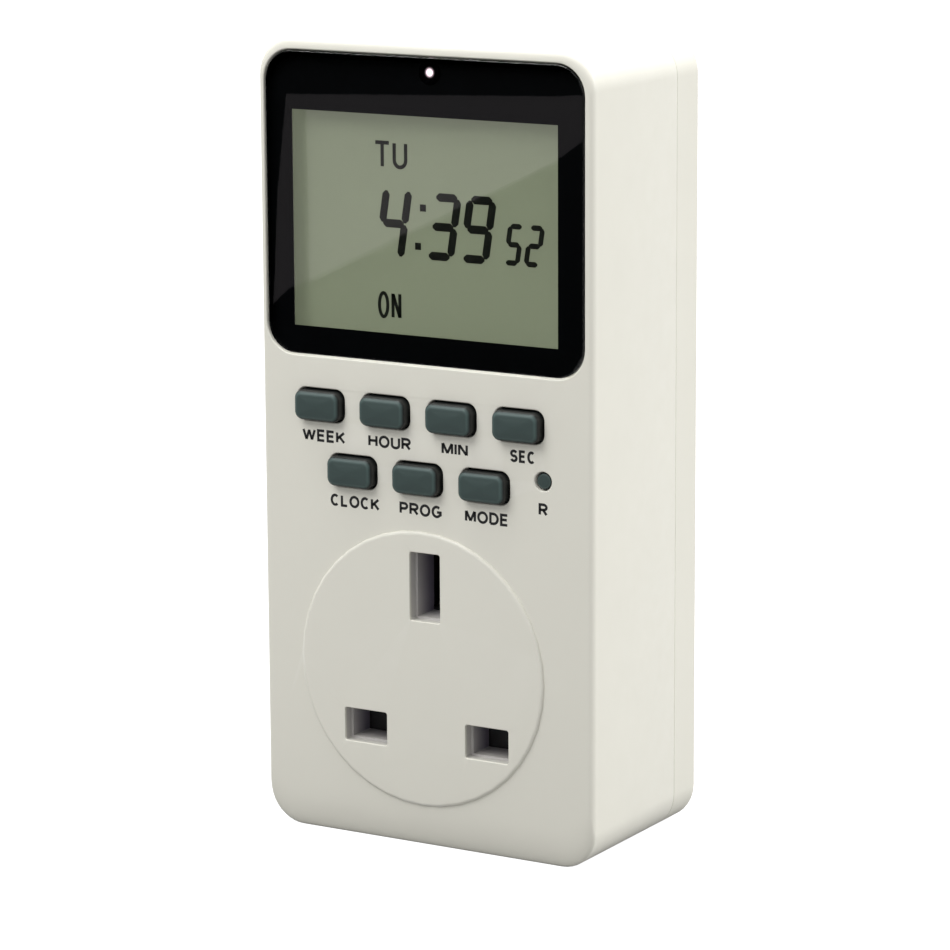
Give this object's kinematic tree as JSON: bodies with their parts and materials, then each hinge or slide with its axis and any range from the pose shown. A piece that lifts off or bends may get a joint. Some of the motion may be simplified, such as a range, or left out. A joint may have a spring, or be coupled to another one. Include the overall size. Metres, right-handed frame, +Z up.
{
  "type": "plug-in programmable timer",
  "caption": "Plug-in weekly digital timer: flat ivory casing with a glossy display window, rubber keys, a shuttered socket outlet on the front and plug pins on the back.",
  "frame": {"origin": "middle of the plug pins' pattern on the flat rear face", "axes": "+Y out of the rear face along the plug pins, +X to the right seen from the front, +Z up"},
  "size_m": [0.06, 0.0586, 0.127],
  "materials": {
    "ivory_casing": "satin moulded ABS",
    "clear_lens": "polished clear acrylic",
    "black_print": "screen printed black",
    "lcd_glass": "display glass with polariser",
    "lcd_reflector": "matt reflector film",
    "white_frame": "moulded",
    "zebra_rubber": "striped silicone",
    "lamp": "lit lamp body",
    "key_rubber": "matt silicone rubber",
    "control_laminate": "green solder mask",
    "power_laminate": "bare paper laminate",
    "black_moulding": "black moulded plastic",
    "brass": "bright",
    "tinned_steel": "zinc plated",
    "chip_body": "fired ceramic",
    "copper_wire": "enamelled copper",
    "blue_case": "moulded",
    "yellow_case": "moulded",
    "dark_sleeve": "shrink sleeve",
    "resistor_coat": "lacquered",
    "grey_ribbon": "flat ribbon",
    "brown_wire": "PVC insulation"
  },
  "bodies": {
    "casing": {"front_shell": "ivory_casing", "rear_cover": "ivory_casing", "display_lens": "clear_lens", "lens_mask": "black_print", "lcd_front_glass": "lcd_glass", "lcd_rear_glass": "lcd_glass", "lcd_reflector": "lcd_reflector", "lcd_frame": "white_frame", "relay_bobbin": "white_frame", "zebra_strips": "zebra_rubber", "status_led": "lamp", "keypad_mat": "key_rubber", "control_board": "control_laminate", "power_board": "power_laminate", "contact_carrier": "black_moulding", "live_pin_sleeve": "black_moulding", "neutral_pin_sleeve": "black_moulding", "relay_base": "black_moulding", "controller_blob": "black_moulding", "rectifier_diodes": "black_moulding", "live_pin": "brass", "neutral_pin": "brass", "earth_pin": "brass", "live_contact": "brass", "neutral_contact": "brass", "earth_contact": "brass", "relay_contact": "brass", "case_screws": "tinned_steel", "control_board_screws": "tinned_steel", "power_board_screws": "tinned_steel", "carrier_screws": "tinned_steel", "shutter_spring": "tinned_steel", "relay_yoke": "tinned_steel", "backup_cell": "tinned_steel", "cell_tabs": "tinned_steel", "clock_crystal": "tinned_steel", "chip_parts": "chip_body", "relay_winding": "copper_wire", "relay_cover": "blue_case", "varistor": "blue_case", "neutral_wire": "blue_case", "film_capacitor": "yellow_case", "electrolytic_capacitor": "dark_sleeve", "dropper_resistor": "resistor_coat", "ribbon_cable": "grey_ribbon", "live_in_wire": "brown_wire", "live_out_wire": "brown_wire"},
    "key_week": {"key_week": "key_rubber"},
    "key_hour": {"key_hour": "key_rubber"},
    "key_min": {"key_min": "key_rubber"},
    "key_sec": {"key_sec": "key_rubber"},
    "key_clock": {"key_clock": "key_rubber"},
    "key_prog": {"key_prog": "key_rubber"},
    "key_mode": {"key_mode": "key_rubber"},
    "key_reset": {"key_reset": "key_rubber"},
    "shutter": {"socket_shutter": "black_moulding"},
    "armature": {"relay_armature": "tinned_steel"}
  },
  "joints": [
    {"name": "press_week", "type": "slide", "parent": "casing", "child": "key_week", "axis": [0, 1, 0], "range_m": [0, 0.0011], "stiffness_N_per_m": 900},
    {"name": "press_hour", "type": "slide", "parent": "casing", "child": "key_hour", "axis": [0, 1, 0], "range_m": [0, 0.0011], "stiffness_N_per_m": 900},
    {"name": "press_min", "type": "slide", "parent": "casing", "child": "key_min", "axis": [0, 1, 0], "range_m": [0, 0.0011], "stiffness_N_per_m": 900},
    {"name": "press_sec", "type": "slide", "parent": "casing", "child": "key_sec", "axis": [0, 1, 0], "range_m": [0, 0.0011], "stiffness_N_per_m": 900},
    {"name": "press_clock", "type": "slide", "parent": "casing", "child": "key_clock", "axis": [0, 1, 0], "range_m": [0, 0.0011], "stiffness_N_per_m": 900},
    {"name": "press_prog", "type": "slide", "parent": "casing", "child": "key_prog", "axis": [0, 1, 0], "range_m": [0, 0.0011], "stiffness_N_per_m": 900},
    {"name": "press_mode", "type": "slide", "parent": "casing", "child": "key_mode", "axis": [0, 1, 0], "range_m": [0, 0.0011], "stiffness_N_per_m": 900},
    {"name": "press_reset", "type": "slide", "parent": "casing", "child": "key_reset", "axis": [0, 1, 0], "range_m": [0, 0.0011], "stiffness_N_per_m": 900},
    {"name": "shutter_slide", "type": "slide", "parent": "casing", "child": "shutter", "axis": [0, 0, -1], "range_m": [0, 0.006], "stiffness_N_per_m": 120, "springref_m": -0.002, "deforming": ["shutter_spring"]},
    {"name": "armature_hinge", "type": "hinge", "parent": "casing", "child": "armature", "pos_m": [-0.0166, -0.0176, 0.0328], "axis": [-1, 0, 0], "range_deg": [0, 3.5], "stiffness_Nm_per_rad": 0.01, "springref_deg": -1.15}
  ]
}
